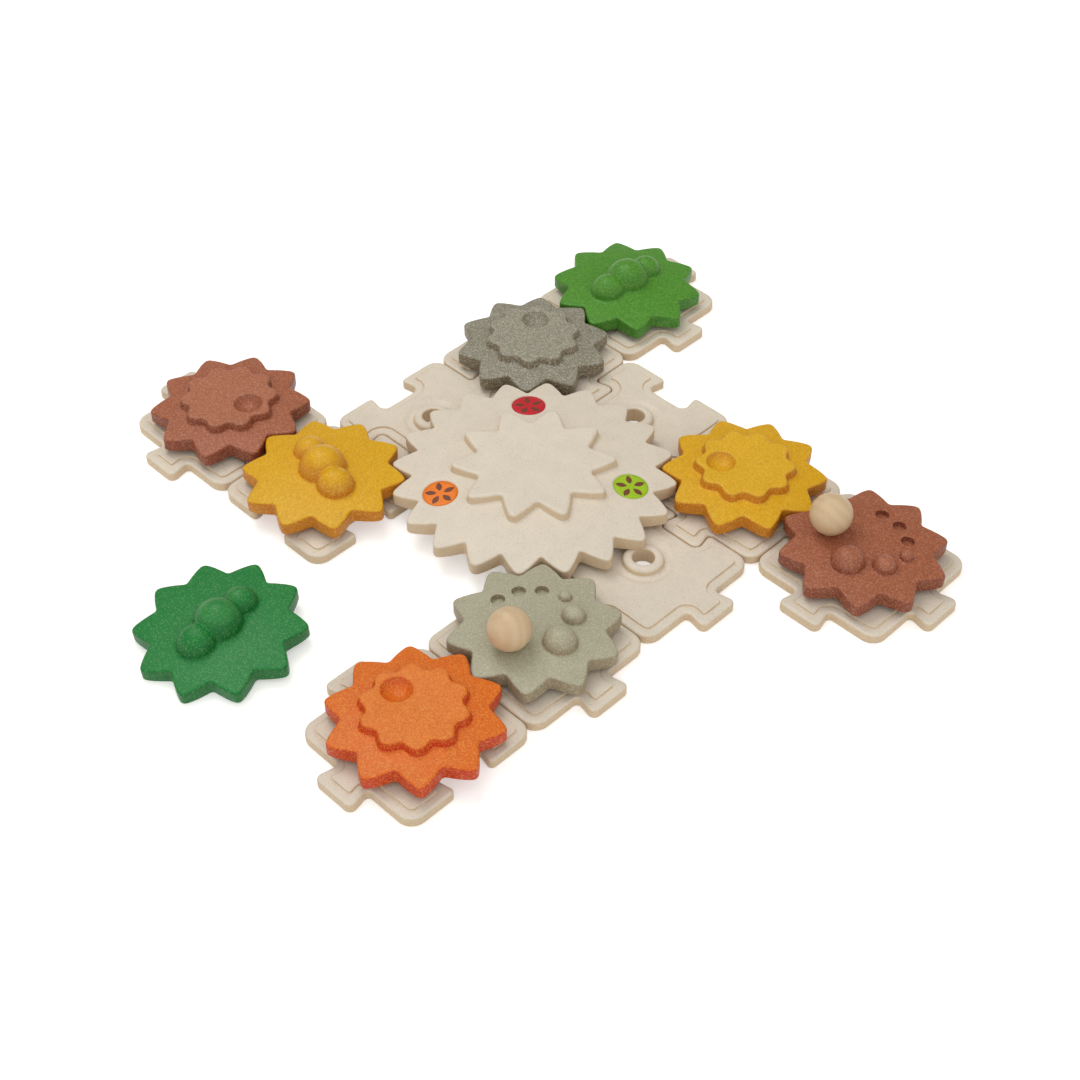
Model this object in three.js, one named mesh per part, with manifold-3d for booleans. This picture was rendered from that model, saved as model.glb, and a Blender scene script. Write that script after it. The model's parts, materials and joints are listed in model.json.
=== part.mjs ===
// Wooden gear puzzle: dovetailed plates, petal gears on short pegs, and two ball knobs to crank them.
// Millimetres, +Z up. The plates stand on z = 0, and the origin is below the middle of the whole set.
import * as THREE from 'three';
import { mergeVertices } from 'three/addons/utils/BufferGeometryUtils.js';
import Module from 'manifold-3d';

const wasm = await Module();
wasm.setup();

// Grid of gear centres
const pitch = 90;
const plateGap = 0.45;
const seatGap = 0.3;

// Puzzle plate
const plateCornerRadius = 9.5;
const plateEdgeRound = 1.5;
const bandHeight = 6.5;
const bandWidth = 6;
const plateauRise = 0.8;
const tabLength = 14.7;
const tabNeckWidth = 23.4;
const tabHeadWidth = 30;
const tabCornerRadius = 4;
const dishDepth = 1.2;
const dishMargin = 5.2;
const ringWall = 5.7;
const ringRise = 3.4;
const ringEdgeRound = 1;

// Axle peg and the bore that it turns in
const pegRadius = 6.2;
const pegPlay = 0.4;
const pegReach = 3.2;
const pegSocketDepth = 4.5;
const pegEndCrown = 1.6;

// Small gear
const smallPetals = 10;
const smallThickness = 8;
const petalDepth = 10.5;
const tipClearance = 0.9;
const petalTipLength = 0.95;
const petalTipWidth = 4.8;
const petalSideBulge = 0.95;
const gearEdgeRound = 1.3;
const smallCrown = 4;

// Raised star with a finger dimple
const starRadius = 31;
const starLobeDepth = 3.3;
const starHeight = 8;
const starEdgeRound = 2.4;
const dimpleRadius = 9;
const dimpleDepth = 5.5;
const dimpleOffset = 14.7;

// Row of three bumps, the smallest one towards the row's petal
const middleBumpRadius = 14.5;
const nearBumpRadius = 10;
const farBumpRadius = 11.4;
const endBumpOffset = 18;

// Knob gear: ball on a stem, three domes, three blind holes
const knobRadius = 12.5;
const knobOffset = 21.9;
const knobLift = 0.4;
const stemRadius = 4.6;
const stemDepth = 5;
const stemKnobDepth = 7;
const domeRadii = [4, 7, 9.8];
const domeOffsets = [25.8, 22.1, 20.5];
const blindHoleRadius = 4;
const blindHoleDepth = 3.5;
const blindHoleOffsets = [27.7, 26.4, 25.4];

// Large gear: a wide layer and a star on top of it
const bigPetals = 20;
const bigThickness = 8;
const bigCrown = 6.5;
const bigTipClearance = 1.7;
const bigRootClearance = 4.2;
const bigStarRadius = 50;
const bigStarPetalDepth = 14.5;
const bigStarHeight = 10;
const spotRadius = 11;
const spotDepth = 0.6;
const spotOffset = 59.8;

// Gear that lies beside the toy, measured from the large gear's axis
const looseGearX = -39.5;
const looseGearY = -209.3;

// Where each petal's side swells most, as a share of the way from valley to shoulder
const petal_swell_share = 0.68;

// Rings of points on a domed face, as shares of the distance from the axis to the valleys
const face_ring_shares = [0.86, 0.4];

// Facets along each curve of a petal and a lobe, and round each turned form
const petalCurveSegments = 2;
const lobeCurveSegments = 3;
const ringSegments = 12;
const boreSegments = 12;
const pegSegments = 8;
const dimpleSegments = 10;
const bumpSegments = 12;
const domeSegments = 8;
const holeSegments = 8;
const knobSegments = 14;

// Rings of facets from the foot of a bump to its top
const middleBumpRings = 4;
const bumpRings = 3;

// Colours
const cream = 0xded4c3;
const beech = 0xd3b287;

// Overrun of every cut
const overrun = 2;

// Turned positions, in degrees
const bigGearTurn = -87;
const bigStarTurn = 27;
const looseGearTurn = 8.3;
const knobAngle = 290.8;
const domeAngles = [108.3, 71.2, 12.7];
const blindHoleAngles = [198, 169.8, 140.5];
const spotValleys = [5, 8, 2];

// Sizes that follow from the ones above
const plateHalf = (pitch - plateGap) / 2;
const plateauHeight = bandHeight + plateauRise;
const ringTop = plateauHeight + ringRise;
const boreRadius = pegRadius + pegPlay;
const ringRadius = boreRadius + ringWall;
const dishRadius = ringRadius + dishMargin;
const gearBottom = ringTop + seatGap;
const smallTip = (pitch - tipClearance + petalDepth) / 2;
const smallRoot = smallTip - petalDepth;
const diagonalPitch = pitch * Math.SQRT2;
const bigTip = diagonalPitch - smallRoot - bigTipClearance;
const bigRoot = diagonalPitch - smallTip - bigRootClearance;
const smallFace = {
  rim: smallTip,
  valley: smallRoot,
  petals: smallPetals,
  thickness: smallThickness,
  crown: smallCrown,
};
const bigFace = {
  rim: bigTip,
  valley: bigRoot,
  petals: bigPetals,
  thickness: bigThickness,
  crown: bigCrown,
};

const quarterTurn = Math.PI / 2;
const middle = new THREE.Vector2();
const toRadians = THREE.MathUtils.degToRad;

// Makes a solid from a flat list of coordinates and a flat list of corners.
function solidFrom(coordinates, corners) {
  const mesh = new wasm.Mesh({
    numProp: 3,
    vertProperties: new Float32Array(coordinates),
    triVerts: new Uint32Array(corners),
  });
  mesh.merge();
  return new wasm.Manifold(mesh);
}

// Turns a closed three.js geometry into a solid: weld it, and drop the flat triangles at poles.
function solidOf(geometry) {
  const bare = geometry.clone();
  bare.deleteAttribute('normal');
  bare.deleteAttribute('uv');
  const welded = mergeVertices(bare);
  const corners = welded.index.array;
  const faces = [];
  for (let i = 0; i < corners.length; i += 3) {
    const [a, b, c] = [corners[i], corners[i + 1], corners[i + 2]];
    if (a !== b && b !== c && c !== a) {
      faces.push(a, b, c);
    }
  }
  return solidFrom(welded.attributes.position.array, faces);
}

// Turns a solid back into a three.js geometry.
function geometryOf(solid) {
  const mesh = solid.getMesh();
  const geometry = new THREE.BufferGeometry();
  geometry.setAttribute('position', new THREE.BufferAttribute(mesh.vertProperties, 3));
  geometry.setIndex(new THREE.BufferAttribute(mesh.triVerts, 1));
  geometry.computeVertexNormals();
  return geometry;
}

// Extrudes a flat shape from one height to another. The top edge is rounded inside the shape, and the
// bottom face, where the press leaves a crisp edge, is cut level.
function extruded(shape, bottom, top, round, curveSegments) {
  const geometry = new THREE.ExtrudeGeometry(shape, {
    depth: top - bottom - round,
    curveSegments,
    bevelThickness: round,
    bevelSize: round,
    bevelOffset: -round,
    bevelSegments: 1,
  });
  geometry.translate(0, 0, bottom);
  geometry.computeBoundingBox();
  const { min, max } = geometry.boundingBox;
  const slab = new THREE.BoxGeometry(2 * (max.x - min.x), 2 * (max.y - min.y), 2 * round);
  slab.translate(0, 0, bottom - round);
  return solidOf(geometry).subtract(solidOf(slab));
}

// Turns a profile of [radius, height] points about the Z axis.
function turned(profile, segments) {
  const points = profile.map(([radius, height]) => new THREE.Vector2(radius, height));
  const geometry = new THREE.LatheGeometry(points, segments);
  geometry.rotateX(quarterTurn);
  return solidOf(geometry);
}

function disc(radius, bottom, top, segments) {
  return turned([[0, bottom], [radius, bottom], [radius, top], [0, top]], segments);
}

// Half a ball on a level face, with a short foot sunk into the face.
function dome(radius, level, foot, segments, rings) {
  const profile = [[0, level - foot], [radius, level - foot]];
  for (let ring = 0; ring < rings; ring += 1) {
    const rise = (quarterTurn * ring) / rings;
    profile.push([radius * Math.cos(rise), level + radius * Math.sin(rise)]);
  }
  profile.push([0, level + radius]);
  return turned(profile, segments);
}

function polar(radius, degrees) {
  const angle = toRadians(degrees);
  return [radius * Math.cos(angle), radius * Math.sin(angle)];
}

function movedTo(solid, radius, degrees) {
  return solid.translate([...polar(radius, degrees), 0]);
}

// One side of a petal, from the valley to the blunt tip, in the petal's own axes.
function petalSide(tipRadius, rootRadius, halfStep) {
  const valley = new THREE.Vector2(rootRadius * Math.cos(halfStep), rootRadius * Math.sin(halfStep));
  const shoulder = new THREE.Vector2(tipRadius - petalTipLength, petalTipWidth / 2);
  const along = shoulder.clone().sub(valley);
  const outwards = new THREE.Vector2(-along.y, along.x).setLength(petalSideBulge);
  const control = valley.clone().lerp(shoulder, petal_swell_share).add(outwards);
  return { valley, shoulder, control };
}

// A ring of pointed petals, the first one on the X axis.
function petalShape(tipRadius, rootRadius, petals) {
  const halfStep = Math.PI / petals;
  const { valley, shoulder, control } = petalSide(tipRadius, rootRadius, halfStep);
  const tip = new THREE.Vector2(tipRadius + petalTipLength, 0);
  const shape = new THREE.Shape();
  for (let petal = 0; petal < petals; petal += 1) {
    const place = (point, side) =>
      new THREE.Vector2(point.x, side * point.y).rotateAround(middle, 2 * halfStep * petal);
    const curveTo = (bend, end) => shape.quadraticCurveTo(bend.x, bend.y, end.x, end.y);
    if (petal === 0) {
      const start = place(valley, -1);
      shape.moveTo(start.x, start.y);
    }
    curveTo(place(control, -1), place(shoulder, -1));
    curveTo(place(tip, 1), place(shoulder, 1));
    curveTo(place(control, 1), place(valley, 1));
  }
  return shape;
}

// A ring of round lobes: one curve from valley to valley over each lobe's top.
function lobeShape(radius, lobeDepth, lobes) {
  const halfStep = Math.PI / lobes;
  const valleyAlong = (radius - lobeDepth) * Math.cos(halfStep);
  const valleyAcross = (radius - lobeDepth) * Math.sin(halfStep);
  const shape = new THREE.Shape();
  for (let lobe = 0; lobe < lobes; lobe += 1) {
    const place = (along, across) =>
      new THREE.Vector2(along, across).rotateAround(middle, 2 * halfStep * lobe);
    if (lobe === 0) {
      const start = place(valleyAlong, -valleyAcross);
      shape.moveTo(start.x, start.y);
    }
    const bend = place(2 * radius - valleyAlong, 0);
    const end = place(valleyAlong, valleyAcross);
    shape.quadraticCurveTo(bend.x, bend.y, end.x, end.y);
  }
  return shape;
}

// The plate's corners, anticlockwise. Tabs face +X and -Y, and sockets face +Y and -X.
function plateCorners() {
  const slant = (tabHeadWidth - tabNeckWidth) / 2 / tabLength;
  const play = plateGap * (Math.hypot(1, slant) + slant);
  const feature = (out, neck, head, neckRadius, headRadius) => [
    [plateHalf, -neck, neckRadius],
    [out, -head, headRadius],
    [out, head, headRadius],
    [plateHalf, neck, neckRadius],
  ];
  const tab = feature(plateHalf + tabLength, tabNeckWidth / 2, tabHeadWidth / 2, 0, tabCornerRadius);
  const socket = feature(
    plateHalf - tabLength,
    tabNeckWidth / 2 + play,
    tabHeadWidth / 2 + play,
    0,
    tabCornerRadius + plateGap,
  );
  return [tab, socket, socket, tab].flatMap((side, turn) =>
    [[plateHalf, -plateHalf, plateCornerRadius], ...side].map(([out, along, radius]) => ({
      point: new THREE.Vector2(out, along).rotateAround(middle, turn * quarterTurn),
      radius,
    })),
  );
}

// Directions of the two edges that meet in a corner, and which way the outline turns there.
function edgesAt(corners, i) {
  const before = corners.at(i - 1).point;
  const { point } = corners[i];
  const after = corners[(i + 1) % corners.length].point;
  const incoming = point.clone().sub(before).normalize();
  const outgoing = after.clone().sub(point).normalize();
  const bulges = incoming.cross(outgoing) > 0;
  return { point, incoming, outgoing, bulges };
}

// The same outline drawn a distance further in. Its round corners keep their centres.
function insetCorners(corners, distance) {
  return corners.map(({ radius }, i) => {
    const { point, incoming, outgoing, bulges } = edgesAt(corners, i);
    const bothInwards = new THREE.Vector2(-incoming.y - outgoing.y, incoming.x + outgoing.x);
    const step = bothInwards.multiplyScalar(distance / (1 + incoming.dot(outgoing)));
    return {
      point: point.clone().add(step),
      radius: bulges ? Math.max(radius - distance, 0) : radius + distance,
    };
  });
}

// Draws the corners as one outline. A wide corner is an arc of two steps, and a tight one a single flat.
function roundedShape(corners) {
  const points = corners.flatMap(({ radius }, i) => {
    const { point, incoming, outgoing, bulges } = edgesAt(corners, i);
    if (radius === 0) {
      return [point];
    }
    const side = bulges ? 1 : -1;
    const turn = Math.acos(THREE.MathUtils.clamp(incoming.dot(outgoing), -1, 1));
    const start = point.clone().addScaledVector(incoming, -radius * Math.tan(turn / 2));
    const arcSteps = radius > plateCornerRadius / 2 && bulges ? 2 : 1;
    const centre = start.clone().add(new THREE.Vector2(-incoming.y, incoming.x).setLength(side * radius));
    return Array.from({ length: arcSteps + 1 }, (_, step) =>
      start.clone().rotateAround(centre, (side * turn * step) / arcSteps));
  });
  return new THREE.Shape(points);
}

// Puzzle plate: a band round the edge, a raised middle, and a ring with a bore in a round dish.
function puzzlePlate() {
  const corners = plateCorners();
  const band = extruded(roundedShape(corners), 0, bandHeight, plateEdgeRound);
  const plateauFoot = bandHeight - 2 * plateauRise;
  const plateauOutline = roundedShape(insetCorners(corners, bandWidth));
  const plateau = extruded(plateauOutline, plateauFoot, plateauHeight, plateauRise);
  const dishFloor = plateauHeight - dishDepth;
  const above = ringTop + overrun;
  const dish = turned([
    [ringRadius, dishFloor],
    [dishRadius, dishFloor],
    [dishRadius, above],
    [ringRadius, above],
    [ringRadius, dishFloor],
  ], ringSegments);
  const ring = turned([
    [0, dishFloor - overrun],
    [ringRadius, dishFloor - overrun],
    [ringRadius, ringTop - ringEdgeRound],
    [ringRadius - ringEdgeRound, ringTop],
    [0, ringTop],
  ], ringSegments);
  const bore = disc(boreRadius, -overrun, above, boreSegments);
  return band.add(plateau).subtract(dish).add(ring).subtract(bore);
}

// Height of a gear's domed top face above its underside, at a distance from the axis.
function faceHeight({ rim, thickness, crown }, radius) {
  return thickness + crown * (1 - (radius / rim) ** 2);
}

// A gear's petal layer, underside on z = 0, with its top edge rounded inside the outline. The domed top is
// a fan over each petal, two rings of points further in, and a point on the axis.
function petalLayer(face) {
  const { rim, valley, petals, thickness, crown } = face;
  const outline = petalShape(rim, valley, petals).getPoints(petalCurveSegments).slice(0, -1);
  const corners = outline.map((point) => ({ point, radius: 0 }));
  const ridge = insetCorners(corners, gearEdgeRound).map(({ point }) => point);
  const [outerRing, innerRing] = face_ring_shares.map((share) =>
    Array.from({ length: petals }, (_, petal) =>
      new THREE.Vector2(share * valley, 0).rotateAround(middle, (2 * Math.PI * petal) / petals)));
  const lowered = (drop) => (point) => [point.x, point.y, faceHeight(face, point.length()) - drop];
  const coordinates = [
    ...outline.map(({ x, y }) => [x, y, 0]),
    ...outline.map(lowered(gearEdgeRound)),
    ...[...ridge, ...outerRing, ...innerRing].map(lowered(0)),
    [0, 0, thickness + crown],
  ];

  const size = outline.length;
  const [shoulderAt, ridgeAt, outerAt] = [size, 2 * size, 3 * size];
  const innerAt = outerAt + petals;
  const axisAt = innerAt + petals;
  const faces = THREE.ShapeUtils.triangulateShape(outline, []).map(([a, b, c]) => [c, b, a]);
  const joinRings = (lower, upper, length) => {
    for (let i = 0; i < length; i += 1) {
      const next = (i + 1) % length;
      faces.push([lower + i, lower + next, upper + next], [lower + i, upper + next, upper + i]);
    }
  };
  joinRings(0, shoulderAt, size);
  joinRings(shoulderAt, ridgeAt, size);
  joinRings(outerAt, innerAt, petals);
  for (let petal = 0; petal < petals; petal += 1) {
    const next = (petal + 1) % petals;
    const firstPoint = (petal * size) / petals;
    const lastPoint = firstPoint + size / petals;
    for (let point = firstPoint; point < lastPoint; point += 1) {
      faces.push([outerAt + petal, ridgeAt + point, ridgeAt + ((point + 1) % size)]);
    }
    faces.push([outerAt + petal, ridgeAt + (lastPoint % size), outerAt + next]);
    faces.push([innerAt + petal, innerAt + next, axisAt]);
  }
  return solidFrom(coordinates.flat(), faces.flat());
}

// Cuts the blind socket for the peg into a gear's underside.
function withPegSocket(gear) {
  return gear.subtract(disc(pegRadius + seatGap, -overrun, pegSocketDepth, pegSegments));
}

// A raised form on a layer. It starts inside the layer, level with the rim, and its top edge is rounded.
function raised(shape, thickness, height, curveSegments) {
  return extruded(shape, thickness, thickness + height, starEdgeRound, curveSegments);
}

// The ball that cuts a dimple with a given mouth and depth.
function dimpleCutter(mouthRadius, depth, level) {
  const ballRadius = (mouthRadius ** 2 + depth ** 2) / (2 * depth);
  const ball = new THREE.SphereGeometry(ballRadius, dimpleSegments, dimpleSegments);
  ball.rotateX(quarterTurn);
  ball.translate(0, 0, level - depth + ballRadius);
  return solidOf(ball);
}

function starGear({ dimplePetal }) {
  const top = smallThickness + starHeight;
  const starShape = lobeShape(starRadius, starLobeDepth, smallPetals);
  const star = raised(starShape, smallThickness, starHeight, lobeCurveSegments);
  const dimple = dimpleCutter(dimpleRadius, dimpleDepth, top);
  const dimpleAngle = (dimplePetal * 360) / smallPetals;
  return petalLayer(smallFace).add(star).subtract(movedTo(dimple, dimpleOffset, dimpleAngle));
}

// Half a ball that stands on a small gear's domed face.
function bumpAt(radius, offset, angle, segments, rings) {
  const level = faceHeight(smallFace, offset);
  return movedTo(dome(radius, level, level / 2, segments, rings), offset, angle);
}

function bumpGear({ rowPetal }) {
  const rowAngle = (rowPetal * 360) / smallPetals;
  return petalLayer(smallFace)
    .add(bumpAt(middleBumpRadius, 0, rowAngle, bumpSegments, middleBumpRings))
    .add(bumpAt(nearBumpRadius, endBumpOffset, rowAngle, bumpSegments, bumpRings))
    .add(bumpAt(farBumpRadius, endBumpOffset, rowAngle + 180, bumpSegments, bumpRings));
}

// A round cut straight down into a small gear's domed face.
function blindCut(radius, depth, offset, angle) {
  const level = faceHeight(smallFace, offset);
  return movedTo(disc(radius, level - depth, level + overrun, holeSegments), offset, angle);
}

function knobGear() {
  let gear = petalLayer(smallFace);
  domeRadii.forEach((radius, i) => {
    gear = gear.add(bumpAt(radius, domeOffsets[i], domeAngles[i], domeSegments, bumpRings));
  });
  blindHoleAngles.forEach((angle, i) => {
    gear = gear.subtract(blindCut(blindHoleRadius, blindHoleDepth, blindHoleOffsets[i], angle));
  });
  return gear.subtract(blindCut(stemRadius + seatGap, stemDepth, knobOffset, knobAngle));
}

// The large gear. The shallow spots in its face lean outwards, so their floors follow the dome.
function largeGear() {
  const starShape = petalShape(bigStarRadius, bigStarRadius - bigStarPetalDepth, smallPetals);
  const star = raised(starShape, bigThickness, bigStarHeight, petalCurveSegments);
  let gear = petalLayer(bigFace).add(star.rotate([0, 0, bigStarTurn]));
  const fall = (2 * bigCrown * spotOffset) / bigTip ** 2;
  const lean = THREE.MathUtils.radToDeg(Math.atan(fall));
  const level = faceHeight(bigFace, spotOffset);
  spotValleys.forEach((valley) => {
    const spot = disc(spotRadius, -spotDepth, overrun, ringSegments);
    const angle = bigStarTurn + ((valley + 1 / 2) * 360) / smallPetals;
    gear = gear.subtract(spot.rotate([0, lean, 0]).translate([spotOffset, 0, level]).rotate([0, 0, angle]));
  });
  return gear;
}

// Axle peg with a crowned end, in the axes of its gear.
function axlePeg() {
  const crown = (share) => {
    const angle = quarterTurn * share;
    return [pegRadius * Math.sin(angle), -pegReach + pegEndCrown * (1 - Math.cos(angle))];
  };
  const top = pegSocketDepth - seatGap;
  return turned([crown(0), crown(1 / 2), crown(1), [pegRadius, top], [0, top]], pegSegments);
}

function knobStem() {
  const level = faceHeight(smallFace, knobOffset);
  const top = level + knobLift + stemKnobDepth;
  return movedTo(disc(stemRadius, level - stemDepth + seatGap, top, pegSegments), knobOffset, knobAngle);
}

function ballKnob() {
  const ball = new THREE.SphereGeometry(knobRadius, knobSegments, knobSegments / 2);
  ball.rotateX(quarterTurn);
  const lowest = faceHeight(smallFace, knobOffset) + knobLift;
  ball.translate(0, 0, lowest + knobRadius);
  const socketTop = lowest + stemKnobDepth + seatGap;
  const socket = disc(stemRadius + seatGap, 0, socketTop, pegSegments);
  return movedTo(solidOf(ball).subtract(socket), knobOffset, knobAngle);
}

const woodFinish = (color) => new THREE.MeshStandardMaterial({ color, roughness: 0.8, metalness: 0 });

function piece(name, solid, color) {
  const mesh = new THREE.Mesh(geometryOf(solid), woodFinish(color));
  mesh.name = name;
  return mesh;
}

// A gear with its peg, and its knob where it has one, turned together about the gear's axis.
function gearGroup({ name, make, color, turn, ...features }) {
  const group = new THREE.Group();
  group.add(piece(`${name}_gear`, withPegSocket(make(features)), color));
  group.add(piece(`${name}_gear_peg`, axlePeg(), beech));
  if (make === knobGear) {
    group.add(piece(`${name}_knob_stem`, knobStem(), beech));
    group.add(piece(`${name}_knob`, ballKnob(), beech));
  }
  group.rotation.z = toRadians(turn);
  return group;
}

// Where a small gear must point to mesh with a neighbour that lies back along the given direction.
function meshTurn(neighbourTurn, neighbourPetals, direction) {
  const ratio = neighbourPetals / smallPetals;
  return direction + 180 + 180 / smallPetals - ratio * (neighbourTurn - direction);
}

// Plates on the grid: column along X, row along Y, and quarter turns of the plate.
const plates = [
  { name: 'plate_centre', column: 0, row: 0, turns: 0 },
  { name: 'plate_empty_left', column: -1, row: 0, turns: 1 },
  { name: 'plate_empty_top', column: 0, row: 1, turns: 0 },
  { name: 'plate_empty_right', column: 1, row: 0, turns: 0 },
  { name: 'plate_gray', column: -1, row: 1, turns: 1 },
  { name: 'plate_green', column: -1, row: 2, turns: 1 },
  { name: 'plate_yellow_left', column: -1, row: -1, turns: 2 },
  { name: 'plate_brown_left', column: -2, row: -1, turns: 3 },
  { name: 'plate_yellow_right', column: 1, row: 1, turns: 0 },
  { name: 'plate_brown_right', column: 2, row: 1, turns: 0 },
  { name: 'plate_light_gray', column: 1, row: -1, turns: 0 },
  { name: 'plate_orange', column: 1, row: -2, turns: 3 },
];

// Each train runs from the large gear to an inner gear and on to an outer one.
// Petal steps bring a gear's own features round to where they stand.
const trains = [
  {
    inner: { name: 'gray', make: starGear, color: 0x96938a, column: -1, row: 1, dimplePetal: 4 },
    outer: { name: 'green', make: bumpGear, color: 0x52963a, column: -1, row: 2, rowPetal: 2.5 },
  },
  {
    inner: { name: 'yellow_left', make: bumpGear, color: 0xe0ae26, column: -1, row: -1, rowPetal: 4.5 },
    outer: { name: 'brown_left', make: starGear, color: 0xae6147, column: -2, row: -1, dimplePetal: 0 },
  },
  {
    inner: { name: 'yellow_right', make: starGear, color: 0xe0ae26, column: 1, row: 1, dimplePetal: 6 },
    outer: { name: 'brown_right', make: knobGear, color: 0xae6147, column: 2, row: 1, petalSteps: -3 },
  },
  {
    inner: { name: 'light_gray', make: knobGear, color: 0xb4b29b, column: 1, row: -1 },
    outer: { name: 'orange', make: starGear, color: 0xe8752c, column: 1, row: -2, dimplePetal: 5 },
  },
];

// The same angle within one petal step of zero, then moved on by whole petals.
function nearestTurn(turn, petalSteps = 0) {
  const step = 360 / smallPetals;
  return turn - step * Math.round(turn / step) + step * petalSteps;
}

function directionOf(from, to) {
  return THREE.MathUtils.radToDeg(Math.atan2(to.row - from.row, to.column - from.column));
}

const toy = new THREE.Group();
const set = new THREE.Group();
toy.add(set);

for (const { name, column, row, turns } of plates) {
  const plate = piece(name, puzzlePlate(), cream);
  plate.position.set(pitch * column, pitch * row, 0);
  plate.rotation.z = turns * quarterTurn;
  set.add(plate);
}

function placeGear(spec, turn) {
  const group = gearGroup({ ...spec, turn });
  group.position.set(pitch * spec.column, pitch * spec.row, gearBottom);
  set.add(group);
}

const bigSpec = { name: 'big', make: largeGear, color: cream, column: 0, row: 0 };
placeGear(bigSpec, bigGearTurn);
for (const { inner, outer } of trains) {
  const inwards = directionOf(bigSpec, inner);
  const innerTurn = nearestTurn(meshTurn(bigGearTurn, bigPetals, inwards), inner.petalSteps);
  const outwards = directionOf(inner, outer);
  const outerTurn = nearestTurn(meshTurn(innerTurn, smallPetals, outwards), outer.petalSteps);
  placeGear(inner, innerTurn);
  placeGear(outer, outerTurn);
}

// The loose gear leans on its peg and on the two petals either side of its low side.
const loose = gearGroup({
  name: 'loose',
  make: bumpGear,
  color: 0x1e8038,
  turn: looseGearTurn,
  rowPetal: 2.5,
});
const lowSide = toRadians(looseGearTurn) - quarterTurn;
const restRadius = (smallTip - gearEdgeRound) * Math.cos(Math.PI / smallPetals);
const leaning = new THREE.Group();
leaning.add(loose);
leaning.quaternion.setFromAxisAngle(
  new THREE.Vector3(-Math.sin(lowSide), Math.cos(lowSide), 0),
  Math.asin(pegReach / restRadius),
);
leaning.position.set(looseGearX, looseGearY, 0);
const lowest = new THREE.Box3().setFromObject(leaning, true).min.z;
leaning.position.z = -lowest;
set.add(leaning);

// The origin goes below the middle of the set's footprint.
const footprint = new THREE.Box3().setFromObject(set, true);
const centre = footprint.getCenter(new THREE.Vector3());
set.position.set(-centre.x, -centre.y, 0);
toy.updateMatrixWorld(true);

export default toy;
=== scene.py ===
# %% [markdown]
# # A gear puzzle of pressed wood
# The toy is twelve puzzle plates that lock with dovetail tabs, nine petal gears that stand on them
# and turn each other, and one loose gear. Everything is pressed from sawdust and dye, apart from the
# turned pegs and the two ball knobs. The construction model holds every size and joint. This script
# rebuilds each piece around it as a fine surface, and gives it its finish.

import json
import math

import bmesh
import bpy
import numpy as np
from mathutils import Matrix, Vector
from mathutils.geometry import delaunay_2d_cdt


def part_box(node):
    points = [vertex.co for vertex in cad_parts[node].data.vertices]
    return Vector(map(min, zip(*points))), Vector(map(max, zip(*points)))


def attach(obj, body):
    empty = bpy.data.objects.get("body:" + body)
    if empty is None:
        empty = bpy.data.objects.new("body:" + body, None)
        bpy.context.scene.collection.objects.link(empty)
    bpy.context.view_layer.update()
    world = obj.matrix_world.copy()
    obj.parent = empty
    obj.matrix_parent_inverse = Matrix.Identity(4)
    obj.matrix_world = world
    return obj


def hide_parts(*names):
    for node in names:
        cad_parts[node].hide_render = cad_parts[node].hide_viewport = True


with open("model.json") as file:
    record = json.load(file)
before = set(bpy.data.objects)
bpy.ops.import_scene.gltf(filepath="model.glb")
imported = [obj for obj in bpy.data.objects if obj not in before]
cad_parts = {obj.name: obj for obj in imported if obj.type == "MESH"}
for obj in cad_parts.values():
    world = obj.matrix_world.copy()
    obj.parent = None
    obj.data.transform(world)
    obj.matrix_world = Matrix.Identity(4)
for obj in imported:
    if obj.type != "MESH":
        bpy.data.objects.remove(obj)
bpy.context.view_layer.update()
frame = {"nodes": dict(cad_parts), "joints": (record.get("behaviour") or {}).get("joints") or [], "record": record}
MM = 0.001

# %% [markdown]
# ## The camera
# A photograph fixes where its camera stood. The gears are all alike, so their outlines in the picture
# give the direction, the distance and the lens. The picture was cropped off centre, which a small lens
# shift brings back. A camera that is turned a quarter round X looks level along +Y: the dip comes off
# that quarter, and the heading is counted from +Y.

# %% Set the camera
CAMERA_SPOT = Vector((574.0, -570.7, 754.5)) * MM
CAMERA_HEADING = math.radians(134.961)
CAMERA_DIP = math.radians(44.198)
SENSOR_WIDTH, LENS_LENGTH = 36, 60.54
CROP_SHIFT = (0.0116, 0.0016)


def add_object(name, data):
    """A new object in the scene."""
    made = bpy.data.objects.new(name, data)
    bpy.context.scene.collection.objects.link(made)
    return made


camera_data = bpy.data.cameras.new("camera")
camera_data.sensor_width = SENSOR_WIDTH
camera_data.lens = LENS_LENGTH
camera_data.shift_x, camera_data.shift_y = CROP_SHIFT
camera = add_object("camera", camera_data)
camera.location = CAMERA_SPOT
camera.rotation_euler = (math.pi / 2 - CAMERA_DIP, 0, CAMERA_HEADING - math.pi / 2)
bpy.context.scene.camera = camera
print("camera", [round(v, 3) for v in camera.location])

# %% [markdown]
# ## Plane curves as complex numbers
# Every outline here lies flat, so a point is one complex number, x + iy. Multiplying by exp(i angle)
# turns it, and the conjugate mirrors it. A whole outline is one numpy array, with no loop over points.


# %% Curves and circles
def bend_curve(start, bend, end, shares):
    """A curve that leaves start towards bend and arrives at end: (1-t)^2 start + 2t(1-t) bend + t^2 end."""
    return (1 - shares) ** 2 * start + 2 * shares * (1 - shares) * bend + shares**2 * end


def circle(radius, points, centre=0):
    """Points at even angles: centre + radius exp(i angle)."""
    return centre + radius * np.exp(2j * np.pi * np.arange(points) / points)


def outward(outline):
    """The outward direction at each point: the run from the point before to the one after, turned right."""
    run = np.roll(outline, -1) - np.roll(outline, 1)
    return -1j * run / abs(run)


def degrees(angle):
    """The unit number that points at an angle in degrees."""
    return np.exp(1j * np.radians(angle))


# %% [markdown]
# ## Petals and lobes
# A gear's teeth are petals: a swelling side that ends in a blunt tip, with a rounded valley between
# two petals. Only half a petal is drawn. Its mirror image gives the other half, and turning the pair
# gives the ring.

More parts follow.
